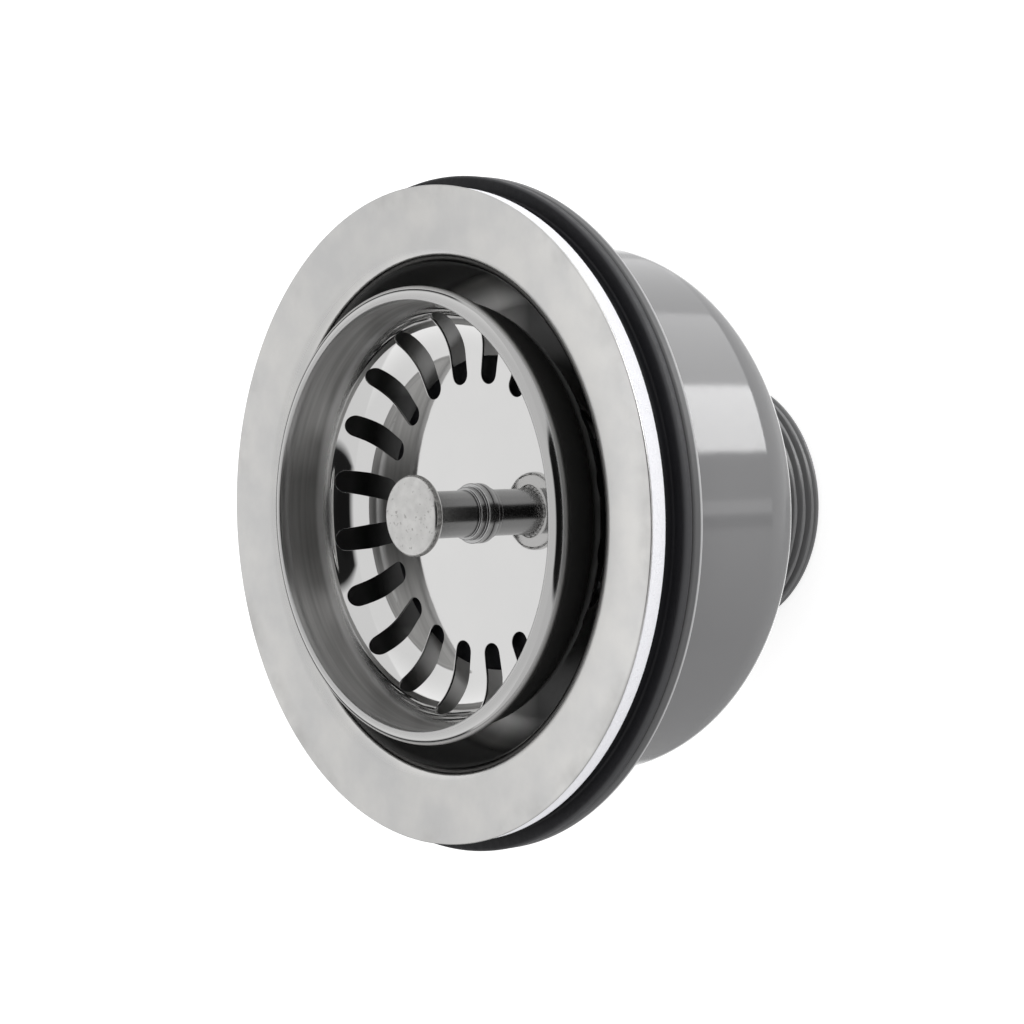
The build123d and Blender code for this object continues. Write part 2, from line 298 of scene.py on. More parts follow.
lip_bottom = lip_top - LIP_THICKNESS
outlet_bore = OUTLET_RADIUS - OUTLET_WALL
body_inner_radius = BODY_RADIUS - BODY_WALL
outer_corner = OUTLET_LENGTH + (BODY_RADIUS - OUTLET_RADIUS) * tan(BOTTOM_SLOPE)
inner_corner = outer_corner + BODY_WALL / cos(BOTTOM_SLOPE) - BODY_WALL * tan(BOTTOM_SLOPE)
bore_top = inner_corner - (body_inner_radius - outlet_bore) * tan(BOTTOM_SLOPE)


def soft_step(value):
    """A soft step from 0 to 1."""
    value = min(1.0, max(0.0, value))
    return value * value * (3 - 2 * value)


def groove(height, angle):
    """How deep the thread is cut at a height and an angle."""
    turn = height / THREAD_PITCH - angle / (2 * pi)
    turn -= floor(turn)
    down = soft_step((turn - THREAD_CREST) / THREAD_FLANK)
    up = soft_step((turn - 1 + THREAD_FLANK) / THREAD_FLANK)
    fade_in = soft_step((height - THREAD_START) / THREAD_FADE)
    fade_out = soft_step((THREAD_END - height) / THREAD_FADE)
    return THREAD_DEPTH * (down - up) * (fade_in * fade_out)


def cut_thread(radius, height, angle):
    """The outside of the outlet, sunk into the thread's groove."""
    if abs(radius - OUTLET_RADIUS) > TOLERANCE or not THREAD_START <= height <= THREAD_END:
        return radius, 0.0, 0.0
    step = SLOPE_STEP
    rise = (groove(height + step, angle) - groove(height - step, angle)) / (2 * step)
    swing = (groove(height, angle + step) - groove(height, angle - step)) / (2 * step * radius)
    return radius - groove(height, angle), swing, rise


thread_steps = int((THREAD_END - THREAD_START) / THREAD_PITCH * THREAD_ROWS)
thread_step = (THREAD_END - THREAD_START) / thread_steps
body_corners = [
    (outlet_bore, 0, SOFT_EDGE),
    (OUTLET_RADIUS - OUTLET_CHAMFER, 0, SOFT_EDGE),
    (OUTLET_RADIUS, OUTLET_CHAMFER, SOFT_EDGE),
    *((OUTLET_RADIUS, THREAD_START + thread_step * k, 0) for k in range(thread_steps + 1)),
    (OUTLET_RADIUS, OUTLET_LENGTH, OUTLET_NECK),
    (BODY_RADIUS, outer_corner, SHOULDER),
    (BODY_RADIUS, lip_bottom, LIP_ROOT),
    (lip_radius, lip_bottom, LIP_EDGE),
    (lip_radius, lip_top, LIP_EDGE),
    (body_inner_radius, lip_top, SOFT_EDGE),
    (body_inner_radius, inner_corner, SHOULDER - BODY_WALL),
    (outlet_bore, bore_top, OUTLET_NECK),
]

GREY_DARK = (0.171, 0.171, 0.174)
GREY_LIGHT = (0.186, 0.186, 0.189)
# The lip's darker grey is painted shade, and the lighter line along its lower edge is a painted
# highlight.
LIP_PAINTED_SHADE = (0.085, 0.085, 0.087)
LIP_PAINTED_HIGHLIGHT = (0.420, 0.420, 0.425)
LIP_ROUGHNESS = 0.4
LIP_START = (BODY_RADIUS + 1.5) * MM
LIP_FULL = (BODY_RADIUS + 3.0) * MM
LIP_HIGHLIGHT_START = (lip_bottom + 0.55) * MM
LIP_HIGHLIGHT_END = (lip_bottom + 0.85) * MM
# The outlet's darker grey is painted shade, and the outlet is also rougher.
OUTLET_SHADE_GREY = (0.130, 0.130, 0.132)
OUTLET_ROUGHNESS = 0.3
OUTLET_MATT_AND_SHADED = (OUTLET_LENGTH - 2.5) * MM
OUTLET_GLOSSY_AND_UNSHADED = (OUTLET_LENGTH - 1.0) * MM
PLASTIC_CLOUDS = 55.0
PLASTIC_GRAIN = 700.0
PLASTIC_ROUGHNESS = (0.07, 0.12)
PLASTIC_WAVES = 220.0
PLASTIC_WAVE_DETAIL = 2.0
PLASTIC_WAVE_HEIGHT = 0.008 * MM
grey_plastic, tree, shader = finish("grey_plastic", GREY_DARK, metallic=0.0, roughness=0.09)
lip = rising(tree, radius_of(tree), LIP_START, LIP_FULL)
above_lip_highlight = rising(tree, height_above(tree), LIP_HIGHLIGHT_START, LIP_HIGHLIGHT_END)
lip_shade_and_highlight = blend(tree, above_lip_highlight, LIP_PAINTED_HIGHLIGHT, LIP_PAINTED_SHADE)
grey = blend(tree, grain(tree, PLASTIC_CLOUDS), GREY_DARK, GREY_LIGHT)
outlet = falling(tree, height_above(tree), OUTLET_MATT_AND_SHADED, OUTLET_GLOSSY_AND_UNSHADED)
grey = blend(tree, outlet, grey, OUTLET_SHADE_GREY)
tree.links.new(blend(tree, lip, grey, lip_shade_and_highlight), shader.inputs["Base Color"])
gloss = spread(tree, grain(tree, PLASTIC_GRAIN), *PLASTIC_ROUGHNESS)
gloss = calculate(tree, "MULTIPLY_ADD", outlet, OUTLET_ROUGHNESS, gloss)
gloss = calculate(tree, "MULTIPLY_ADD", lip, LIP_ROUGHNESS, gloss)
tree.links.new(gloss, shader.inputs["Roughness"])
bumps(tree, shader, grain(tree, PLASTIC_WAVES, PLASTIC_WAVE_DETAIL), PLASTIC_WAVE_HEIGHT)

shell = Skin()
shell.spin(rounded(body_corners), closed=True, warp=cut_thread)
shell.build("body_shell", grey_plastic, "housing", "waste_body")

# Hub and ribs: the inner part of the same moulding. The stepped hub holds the brass nut, and
# four ribs tie it to the sloping bottom.
HUB_BASE = 22.0
HUB_TOP = 39.0
HUB_RADIUS = 10.25
HUB_POCKET = 7.1
HUB_POCKET_TOP = 37.0
HUB_HOLE = 5.2
NUT_POCKET = 8.7
NUT_POCKET_TOP = 24.0
RIB_THICKNESS = 3.0
RIB_TOP = 34.0
RIB_COUNT = 4
RIB_START = radians(45)
RIB_BURIED = 0.8
RIB_BEND_RADIUS = 39.6
RIB_END_RADIUS = 44.4

hub_corners = [
    (NUT_POCKET, HUB_BASE, SOFT_EDGE),
    (HUB_RADIUS, HUB_BASE, SOFT_EDGE),
    (HUB_RADIUS, HUB_TOP, SOFT_EDGE),
    (HUB_HOLE, HUB_TOP, SOFT_EDGE),
    (HUB_HOLE, HUB_POCKET_TOP, SOFT_EDGE),
    (HUB_POCKET, HUB_POCKET_TOP, SOFT_EDGE),
    (HUB_POCKET, NUT_POCKET_TOP, SOFT_EDGE),
    (NUT_POCKET, NUT_POCKET_TOP, SOFT_EDGE),
]
bottom_at_bend = bore_top + (RIB_BEND_RADIUS - outlet_bore) * tan(BOTTOM_SLOPE)
rib_bend = bottom_at_bend - RIB_BURIED / cos(BOTTOM_SLOPE)
rib_corners = [
    (HUB_RADIUS - RIB_BURIED, HUB_BASE, SOFT_EDGE),
    (outlet_bore + RIB_BURIED / 2, HUB_BASE, SOFT_EDGE),
    (RIB_BEND_RADIUS, rib_bend, SOFT_EDGE),
    (RIB_END_RADIUS, RIB_TOP, SOFT_EDGE),
    (HUB_RADIUS - RIB_BURIED, RIB_TOP, SOFT_EDGE),
]


def add_rib(skin, outline, angle, half, edge):
    """A flat rib that stands along a radius, with softened edges."""
    along = Vector((cos(angle), sin(angle), 0))
    across = Vector((-along.y, along.x, 0))
    up = Vector((0, 0, 1))
    slices = ((-half, edge, -1), (edge - half, 0, 0), (half - edge, 0, 0), (half, edge, 1))
    rows = []
    for offset, inset, facing in slices:
        row = []
        for radius, height, out, rise in outline:
            place = along * (radius - inset * out) + across * offset + up * (height - inset * rise)
            row.append((place, across * facing if facing else along * out + up * rise))
        rows.append(row)
    numbers = skin.cover(rows)
    skin.face(numbers[0])
    skin.face(numbers[-1])


hub = Skin()
hub.spin(rounded(hub_corners), closed=True)
for k in range(RIB_COUNT):
    turn = RIB_START + 2 * pi * k / RIB_COUNT
    add_rib(hub, rounded(rib_corners), turn, RIB_THICKNESS / 2, SOFT_EDGE)
hub.build("body_hub", grey_plastic, "housing")

# Threaded insert: a turned brass nut, pressed into the hub from below. The clamp bolt screws into
# it, and its flange keeps it from being pulled up through the hub.
BRASS = (0.62, 0.42, 0.16)
BRASS_DULL = (0.50, 0.33, 0.13)
BRASS_CLOUDS = 400.0
BRASS_GRAIN = 1500.0
BRASS_ROUGHNESS = (0.22, 0.4)


def dress(node, material):
    """Give a CAD node that stays in view its material."""
    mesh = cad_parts[node].data
    mesh.materials.clear()
    mesh.materials.append(material)


brass, tree, shader = finish("brass", BRASS, metallic=1.0, roughness=0.3)
brass_tint = blend(tree, grain(tree, BRASS_CLOUDS), BRASS_DULL, BRASS)
tree.links.new(brass_tint, shader.inputs["Base Color"])
tree.links.new(spread(tree, grain(tree, BRASS_GRAIN), *BRASS_ROUGHNESS), shader.inputs["Roughness"])
dress("threaded_insert", brass)

# Rubber gasket: the black moulded ring that lies on the body's lip and seals against the underside
# of the sink. It has a raised bead on top, and it is lighter grey round its outer edge.
gasket_low, gasket_high = box_mm("rubber_gasket")
GASKET_BASE = 2.0
GASKET_EDGE = 0.7
BEAD_OUTER_RADIUS = 56.3
BEAD_INNER_RADIUS = 48.9
BEAD_ROOT = 0.4
gasket_face = gasket_low.z + GASKET_BASE
gasket_corners = [
    (body_inner_radius, gasket_low.z, SOFT_EDGE),
    (gasket_high.x, gasket_low.z, GASKET_EDGE),
    (gasket_high.x, gasket_face, GASKET_EDGE),
    (BEAD_OUTER_RADIUS, gasket_face, BEAD_ROOT),
    (BEAD_OUTER_RADIUS, gasket_high.z, GASKET_EDGE),
    (BEAD_INNER_RADIUS, gasket_high.z, GASKET_EDGE),
    (BEAD_INNER_RADIUS, gasket_face, BEAD_ROOT),
    (body_inner_radius, gasket_face, SOFT_EDGE),
]
RUBBER_DARK = (0.006, 0.006, 0.007)
RUBBER_LIGHT = (0.010, 0.010, 0.012)
# Lighter grey round the gasket's outer edge.
RUBBER_EDGE_GREY = (0.050, 0.050, 0.053)
EDGE_GREY_START = (gasket_high.x - 0.45) * MM
EDGE_GREY_FULL = (gasket_high.x - 0.1) * MM
RUBBER_SHINE = 0.2
RUBBER_CLOUDS = 120.0
RUBBER_GRAIN = 900.0
RUBBER_ROUGHNESS = (0.45, 0.58)
RUBBER_PORES = 2200.0
RUBBER_PORE_DEPTH = 0.03 * MM
black_rubber, tree, shader = finish("black_rubber", RUBBER_DARK, metallic=0.0, roughness=0.5)
shader.inputs["Specular IOR Level"].default_value = RUBBER_SHINE
rubber = blend(tree, grain(tree, RUBBER_CLOUDS), RUBBER_DARK, RUBBER_LIGHT)
edge_grey = rising(tree, radius_of(tree), EDGE_GREY_START, EDGE_GREY_FULL)
tree.links.new(blend(tree, edge_grey, rubber, RUBBER_EDGE_GREY), shader.inputs["Base Color"])
tree.links.new(spread(tree, grain(tree, RUBBER_GRAIN), *RUBBER_ROUGHNESS), shader.inputs["Roughness"])
bumps(tree, shader, grain(tree, RUBBER_PORES), RUBBER_PORE_DEPTH)
gasket = Skin()
gasket.spin(rounded(gasket_corners), closed=True)
gasket.build("gasket_ring", black_rubber, "housing", "rubber_gasket")

# Foam washer: a die-cut ring of white closed-cell foam, squeezed between the flange and the
# gasket. It beds the flange on the sink.
foam_low, foam_high = box_mm("foam_washer")
FOAM_INNER_RADIUS = 48.4
FOAM_EDGE = 0.25
FLANGE_FALL = 1.1
FLANGE_WIDTH = 13.4
FLANGE_SLOPE = FLANGE_FALL / FLANGE_WIDTH
foam_inner_top = foam_high.z - (foam_high.x - FOAM_INNER_RADIUS) * FLANGE_SLOPE
foam_corners = [
    (FOAM_INNER_RADIUS, foam_low.z, FOAM_EDGE),
    (foam_high.x, foam_low.z, FOAM_EDGE),
    (foam_high.x, foam_high.z, FOAM_EDGE),
    (FOAM_INNER_RADIUS, foam_inner_top, FOAM_EDGE),
]
FOAM_WHITE = (0.90, 0.90, 0.93)
FOAM_SHADE = (0.82, 0.82, 0.86)
FOAM_CELLS = 2600.0
FOAM_CELL_DETAIL = 4.0
FOAM_CELL_DEPTH = 0.12 * MM
white_foam, tree, shader = finish("white_foam", FOAM_WHITE, metallic=0.0, roughness=0.85)
foam_cells = grain(tree, FOAM_CELLS, FOAM_CELL_DETAIL)
tree.links.new(blend(tree, foam_cells, FOAM_SHADE, FOAM_WHITE), shader.inputs["Base Color"])
bumps(tree, shader, foam_cells, FOAM_CELL_DEPTH)
washer = Skin()
washer.spin(rounded(foam_corners), closed=True)
foam_ring = washer.build("foam_ring", white_foam, "housing", "foam_washer")

# Flange and dish: one disc of stainless sheet, drawn into a dish with a rolled mouth, a seat for
# the stopper and a well with four drain openings. The flange is satin and smudged at its edge, with
# a painted sheen lightest towards +X, and its mouth is polished. Inside, the dish has painted shade
# but for two patches of its seat.
DISH_SHEET = 0.5
FLANGE_RADIUS = 57.0
MOUTH_RADIUS = 43.6
MOUTH_ROLL = 3.8
DISH_TAPER = 0.5
DISH_DEPTH = 26.0
DISH_CORNER = 6.0
WELL_RADIUS = 22.0
WELL_DEPTH = 7.0
WELL_EDGE = 1.6
BOLT_HOLE = 5.2
DRAIN_INNER_RADIUS = 9.6
DRAIN_OUTER_RADIUS = 18.9
DRAIN_BAR = 5.0
DRAIN_CORNER = 1.5
DRAIN_COUNT = 4
DRAIN_STEPS = 10
DRAIN_ACROSS = AROUND // DRAIN_COUNT
DRAIN_ALONG = 14
PANEL_INNER_RADIUS = 8.4
PANEL_OUTER_RADIUS = 19.6
PUNCHED_EDGE = 0.16
PANEL_RINGS = 5
RING_CROWDING = 1.5
NOSE_STEPS = 8
flange_top = box_mm("top_flange")[1].z
seat_height = flange_top - DISH_DEPTH
well_floor = seat_height - WELL_DEPTH


def sheet(face, thickness):
    """Sheet metal's outline: its underside, a round edge at the face's first point, and its face."""
    under = [(r - thickness * out, z - thickness * up, -out, -up) for r, z, out, up in face]
    start = Vector(face[0][:2])
    normal = Vector(face[0][2:])
    away = (start - Vector(face[1][:2])).normalized()
    nose = []
    for k in range(1, NOSE_STEPS):
        turn = pi * k / NOSE_STEPS
        spoke = away * sin(turn) - normal * cos(turn)
        place = start + (spoke - normal) * thickness / 2
        nose.append((place.x, place.y, spoke.x, spoke.y))
    return under[::-1] + nose + face


def crossing(hole, centre, target):
    """Where the line from the centre to the target crosses the hole's outline."""
    way = target - centre
    reaches = []
    for k, corner in enumerate(hole):
        start = hole[k - 1]
        edge = corner - start
        across = way.cross(edge)
        if across == 0:
            continue
        share = (start - centre).cross(way) / across
        reach = (start - centre).cross(edge) / across
        if reach > 0 and -TOLERANCE < share < 1 + TOLERANCE:
            reaches.append(reach)
    return centre + way * min(reaches)


def pierce(skin, surface, thickness, hole, low, high, across, along):
    """A panel of sheet with a punched hole, drawn on a flat map of the sheet from low to high.

    surface gives the place and the normal of the sheet's upper face at a point of the map.
    """
    size = high - low
    ways = (
        (low, (0, 1), across),
        ((low.x, high.y), (1, 0), along),
        (high, (0, -1), across),
        ((high.x, low.y), (-1, 0), along),
    )
    border = []
    for start, way, count in ways:
        for k in range(count):
            border.append(Vector(start) + Vector((size.x * way[0], size.y * way[1])) * k / count)
    centre = sum(hole, Vector((0, 0))) / len(hole)
    rim = [crossing(hole, centre, target) for target in border]
    middle = surface(centre)[0]
    edge_places = [surface(point)[0] for point in rim]
    upper = []
    lower = []
    for step in range(PANEL_RINGS + 1):
        row = []
        for inner, outer, place in zip(rim, border, edge_places):
            start = PUNCHED_EDGE / max((surface(outer)[0] - place).length, PUNCHED_EDGE)
            share = start + (1 - start) * (step / PANEL_RINGS) ** RING_CROWDING
            row.append(surface(inner + (outer - inner) * share))
        upper.append(row)
        lower.append([(place - normal * thickness, -normal) for place, normal in row])
    walls = []
    for depth in (PUNCHED_EDGE, thickness - PUNCHED_EDGE):
        row = []
        for k, point in enumerate(rim):
            place, normal = surface(point)
            along_rim = edge_places[(k + 1) % len(rim)] - edge_places[k - 1]
            inward = along_rim.cross(normal)
            if inward.dot(middle - place) < 0:
                inward.negate()
            row.append((place - normal * depth, inward))
        walls.append(row)
    skin.cover(upper[::-1] + walls + lower)


def well_surface(point):
    """The floor of the well, at a radius and an angle."""
    return Vector((point.x * cos(point.y), point.x * sin(point.y), well_floor)), Vector((0, 0, 1))


def drain_outline(turn):
    """The outline of one drain opening, as radii and angles."""
    outer = DRAIN_OUTER_RADIUS - DRAIN_CORNER
    inner = DRAIN_INNER_RADIUS + DRAIN_CORNER
    bar = DRAIN_BAR / 2 + DRAIN_CORNER
    outer_angle = pi / DRAIN_COUNT - asin(bar / outer)
    inner_angle = pi / DRAIN_COUNT - asin(bar / inner)
    square = pi / DRAIN_COUNT + pi / 2
    corners = (
        (outer, outer_angle, outer_angle, square),
        (inner, inner_angle, square, pi + inner_angle),
        (inner, -inner_angle, pi - inner_angle, 2 * pi - square),
        (outer, -outer_angle, 2 * pi - square, 2 * pi - outer_angle),
    )
    places = []
    for radius, angle, start, end in corners:
        for k in range(DRAIN_STEPS + 1):
            way = start + (end - start) * k / DRAIN_STEPS
            x = radius * cos(angle) + DRAIN_CORNER * cos(way)
            y = radius * sin(angle) + DRAIN_CORNER * sin(way)
            places.append((hypot(x, y), atan2(y, x)))
    for k in range(1, 2 * DRAIN_STEPS):
        places.append((DRAIN_OUTER_RADIUS, outer_angle * (k / DRAIN_STEPS - 1)))
    first_inner = 2 * DRAIN_STEPS + 2
    inner_arc = []
    for k in range(1, 2 * DRAIN_STEPS):
        inner_arc.append((DRAIN_INNER_RADIUS, inner_angle * (1 - k / DRAIN_STEPS)))
    places[first_inner:first_inner] = inner_arc
    return [Vector((radius, angle + turn)) for radius, angle in places]


dish_path = [
    (FLANGE_RADIUS - DISH_SHEET / 2, flange_top - FLANGE_SLOPE * DISH_SHEET / 2, 0),
    (MOUTH_RADIUS, flange_top - FLANGE_FALL, MOUTH_ROLL),
    (MOUTH_RADIUS - DISH_TAPER, seat_height, DISH_CORNER),
    (WELL_RADIUS, seat_height, WELL_EDGE),
    (WELL_RADIUS - DISH_TAPER, well_floor, WELL_EDGE),
    (PANEL_OUTER_RADIUS, well_floor, 0),
]
hole_face = [
    (BOLT_HOLE + DISH_SHEET / 2, well_floor, 0, 1),
    (PANEL_INNER_RADIUS, well_floor, 0, 1),
]
dish = Skin()
dish.spin(sheet(rounded(dish_path, closed=False), DISH_SHEET), start=-pi / DRAIN_COUNT)
dish.spin(sheet(hole_face, DISH_SHEET), start=-pi / DRAIN_COUNT)
for k in range(DRAIN_COUNT):
    turn = 2 * pi * k / DRAIN_COUNT
    pierce(
        dish,
        well_surface,
        DISH_SHEET,
        drain_outline(turn),
        Vector((PANEL_INNER_RADIUS, turn - pi / DRAIN_COUNT)),
        Vector((PANEL_OUTER_RADIUS, turn + pi / DRAIN_COUNT)),
        DRAIN_ACROSS,
        DRAIN_ALONG,
    )


def ramp(tree, value, stops):
    """A number read off straight lines between stops of (value, number)."""
    low = stops[0][0]
    high = stops[-1][0]
    node = add_node(tree, "ShaderNodeValToRGB")
    elements = node.color_ramp.elements
    elements.remove(elements[1])
    for k, (place, number) in enumerate(stops):
        share = (place - low) / (high - low)
        element = elements.new(share) if k else elements[0]
        element.position = share
        element.color = (number, number, number, 1.0)
    tree.links.new(rising(tree, value, low, high), node.inputs["Fac"])
    return node.outputs["Color"]


STEEL_WARM = (1.065, 1.053, 1.030)
STEEL_COOL = (0.950, 0.946, 0.940)
STEEL_SMUDGE = (0.820, 0.812, 0.800)
MOTTLE_GRAIN = 110.0
MOTTLE_DETAIL = 9.0
MOTTLE_RANGE = (0.35, 0.65)
SMUDGE_GRAIN = 75.0
SMUDGE_DETAIL = 7.0
SMUDGE_RANGE = (0.50, 0.68)
SMUDGE_START = 52.5 * MM
SMUDGE_FULL = 56.0 * MM
STEEL_GRAIN = 1800.0
STEEL_GRAIN_HEIGHT = 0.01 * MM
# Painted sheen: the flange's colour is scaled by where it lies along X, lightest towards +X.
PAINTED_SHEEN = (
    (-FLANGE_RADIUS * MM, 0.595),
    (-FLANGE_RADIUS / 2 * MM, 0.555),
    (0.0, 0.540),
    (FLANGE_RADIUS / 2 * MM, 0.585),
    (FLANGE_RADIUS * MM, 0.670),
)
# Painted shade inside the dish: beyond a radius of 27 mm and below the mouth, the steel's colour and
# reflections are darkened, most on the seat, except on two patches of the seat towards -X.
DISH_PAINTED_SHADE = (
    (seat_height * MM, 0.13),
    ((seat_height + 5.0) * MM, 0.13),
    ((seat_height + 9.0) * MM, 0.30),
    (flange_top * MM, 0.30),
)
EDGE_BRIGHT = (1.0, 1.0, 1.0)
EDGE_PAINTED_SHADE = (0.12, 0.12, 0.12)
SHADE_TOP = (flange_top - 3.0) * MM
SHADE_END = (flange_top - 2.2) * MM
SHADE_INNER = 24.0 * MM
SHADE_OUTER = 27.0 * MM
SEAT_UNSHADED = (seat_height + 4.0) * MM
SEAT_SHADED = (seat_height + 7.0) * MM
UNSHADED_BACK = -8.0 * MM
SHADED_BACK = 0.0
UNSHADED_SIDE = 28.0 * MM
SHADED_SIDE = 22.0 * MM
SATIN = (
    (seat_height * MM, 0.40),
    ((seat_height + 1.0) * MM, 0.50),
    ((flange_top - 3.0) * MM, 0.55),
    ((flange_top - 2.4) * MM, 0.10),
    ((flange_top - 1.35) * MM, 0.10),
    ((flange_top - 1.0) * MM, 0.32),
)
satin_steel, tree, shader = finish("satin_steel", STEEL_WARM, metallic=1.0, roughness=0.3)
mottle = rising(tree, grain(tree, MOTTLE_GRAIN, MOTTLE_DETAIL), *MOTTLE_RANGE)
near_edge = rising(tree, radius_of(tree), SMUDGE_START, SMUDGE_FULL)
smears = rising(tree, grain(tree, SMUDGE_GRAIN, SMUDGE_DETAIL), *SMUDGE_RANGE)
smudge = calculate(tree, "MULTIPLY", near_edge, smears)
tint = blend(tree, smudge, blend(tree, mottle, STEEL_COOL, STEEL_WARM), STEEL_SMUDGE)
painted_sheen = add_node(tree, "ShaderNodeVectorMath", operation="SCALE")
tree.links.new(tint, painted_sheen.inputs["Vector"])
tree.links.new(ramp(tree, coordinate(tree, "X"), PAINTED_SHEEN), painted_sheen.inputs["Scale"])
mottled_with_painted_sheen = painted_sheen.outputs["Vector"]
# The mask of the dish's painted shade, and the two seat patches that it spares.
deep = falling(tree, height_above(tree), SHADE_TOP, SHADE_END)
outer_part = rising(tree, radius_of(tree), SHADE_INNER, SHADE_OUTER)
painted_shade = calculate(tree, "MULTIPLY", deep, outer_part)
low_part = falling(tree, height_above(tree), SEAT_UNSHADED, SEAT_SHADED)
back_part = falling(tree, coordinate(tree, "X"), UNSHADED_BACK, SHADED_BACK)
sideways = calculate(tree, "ABSOLUTE", coordinate(tree, "Y"))
side_part = rising(tree, sideways, SHADED_SIDE, UNSHADED_SIDE)
patches = calculate(tree, "MULTIPLY", back_part, side_part)
unshaded_seat = calculate(tree, "MULTIPLY", low_part, patches)
painted_shade = calculate(tree, "MULTIPLY", painted_shade, calculate(tree, "SUBTRACT", 1.0, unshaded_seat))
painted_shade_tint = ramp(tree, height_above(tree), DISH_PAINTED_SHADE)
tree.links.new(blend(tree, painted_shade, mottled_with_painted_sheen, painted_shade_tint), shader.inputs["Base Color"])
tree.links.new(blend(tree, painted_shade, EDGE_BRIGHT, EDGE_PAINTED_SHADE), shader.inputs["Specular Tint"])
tree.links.new(ramp(tree, height_above(tree), SATIN), shader.inputs["Roughness"])
bumps(tree, shader, grain(tree, STEEL_GRAIN), STEEL_GRAIN_HEIGHT)
dish.build("flange_dish", satin_steel, "housing", "top_flange")

# Clamp bolt: the hollow steel bolt that pulls the dish and the body together, screwed into the
# brass nut by its slotted head. Its bore guides the stem.
TURNED_BRIGHT = (0.63, 0.625, 0.615)
TURNED_DULL = (0.57, 0.565, 0.56)
TURNED_CLOUDS = 500.0
TURNED_CLOUD_DETAIL = 4.0
TURNED_GRAIN = 900.0
TURNED_ROUGHNESS = (0.17, 0.24)
turned_steel, tree, shader = finish("turned_steel", TURNED_BRIGHT, metallic=1.0, roughness=0.2)
turned_clouds = grain(tree, TURNED_CLOUDS, TURNED_CLOUD_DETAIL)
tree.links.new(blend(tree, turned_clouds, TURNED_DULL, TURNED_BRIGHT), shader.inputs["Base Color"])
tree.links.new(spread(tree, grain(tree, TURNED_GRAIN), *TURNED_ROUGHNESS), shader.inputs["Roughness"])
dress("clamp_bolt", turned_steel)

# Stem: the turned pin that hangs under the basket and slides in the hollow bolt. Its spigot
# screws up into the knob post, and its collar clamps the plate, the stopper and the basket.
stem_low, stem_high = box_mm("stem")
ring_low, ring_high = box_mm("catch_ring")
STEM_RADIUS = 2.4
STEM_POINT = 0.8
GROOVE_RADIUS = 1.95
GROOVE_MARGIN = 0.05
COLLAR_RADIUS = 4.2
COLLAR_HEIGHT = 2.5
STEM_REACH = 26.0
SPIGOT_RADIUS = 2.0
FINE_EDGE = 0.1
STEM_AROUND = AROUND // 4
collar_bottom = stem_low.z + STEM_REACH
stem_corners = [
    (0, stem_low.z, 0),
    (STEM_RADIUS - STEM_POINT, stem_low.z, FINE_EDGE),
    (STEM_RADIUS, stem_low.z + STEM_POINT, FINE_EDGE),
    (STEM_RADIUS, ring_low.z - GROOVE_MARGIN, FINE_EDGE),
    (GROOVE_RADIUS, ring_low.z - GROOVE_MARGIN, FINE_EDGE),
    (GROOVE_RADIUS, ring_high.z + GROOVE_MARGIN, FINE_EDGE),
    (STEM_RADIUS, ring_high.z + GROOVE_MARGIN, FINE_EDGE),
    (STEM_RADIUS, collar_bottom, FINE_EDGE),
    (COLLAR_RADIUS, collar_bottom, 2 * FINE_EDGE),
    (COLLAR_RADIUS, collar_bottom + COLLAR_HEIGHT, FINE_EDGE),
    (SPIGOT_RADIUS, collar_bottom + COLLAR_HEIGHT, FINE_EDGE),
    (SPIGOT_RADIUS, stem_high.z, FINE_EDGE),
    (0, stem_high.z, 0),
]
pin = Skin()
pin.spin(rounded(stem_corners, closed=False), around=STEM_AROUND)
pin.build("stem_pin", turned_steel, "strainer", "stem")

# Catch ring: a small black rubber ring in the stem's groove, which grips the bolt's bore and
# holds the basket raised.
RING_INNER_RADIUS = 2.0
RING_EDGE = 0.2
ring_corners = [
    (RING_INNER_RADIUS, ring_low.z, RING_EDGE),
    (ring_high.x, ring_low.z, RING_EDGE),
    (ring_high.x, ring_high.z, RING_EDGE),
    (RING_INNER_RADIUS, ring_high.z, RING_EDGE),
]
grip = Skin()
grip.spin(rounded(ring_corners), closed=True, around=STEM_AROUND)
grip.build("grip_ring", black_rubber, "strainer", "catch_ring")

# Backing plate: a blanked steel disc between the stem's collar and the stopper, which spreads
# the clamping force.
plate_low, plate_high = box_mm("seal_plate")
STACK_HOLE = 2.05
plate_corners = [
    (STACK_HOLE, plate_low.z, FINE_EDGE),
    (plate_high.x, plate_low.z, SOFT_EDGE),
    (plate_high.x, plate_high.z, SOFT_EDGE),
    (STACK_HOLE, plate_high.z, FINE_EDGE),
]
plate = Skin()
plate.spin(rounded(plate_corners), closed=True)
plate.build("backing_plate", turned_steel, "strainer", "seal_plate")

# Stopper: a moulded black rubber disc under the basket, whose drooping skirt seals on the seat
# of the dish when the basket is pushed down.
seal_low, seal_high = box_mm("stopper_seal")
SEAL_FLAT_RADIUS = 19.0
SEAL_DROOP = 2.5
SEAL_LIP = 3.5
SEAL_EDGE = 0.7
stopper_corners = [
    (STACK_HOLE, plate_high.z, FINE_EDGE),
    (SEAL_FLAT_RADIUS, plate_high.z, SEAL_EDGE),
    (seal_high.x - SEAL_LIP, seal_low.z, SOFT_EDGE),
    (seal_high.x, seal_low.z, SEAL_EDGE),
    (seal_high.x, seal_high.z - SEAL_DROOP, SEAL_EDGE),
    (SEAL_FLAT_RADIUS, seal_high.z, SEAL_EDGE),
    (STACK_HOLE, seal_high.z, FINE_EDGE),
]
stopper = Skin()
stopper.spin(rounded(stopper_corners), closed=True)
stopper.build("stopper_disc", black_rubber, "strainer", "stopper_seal")

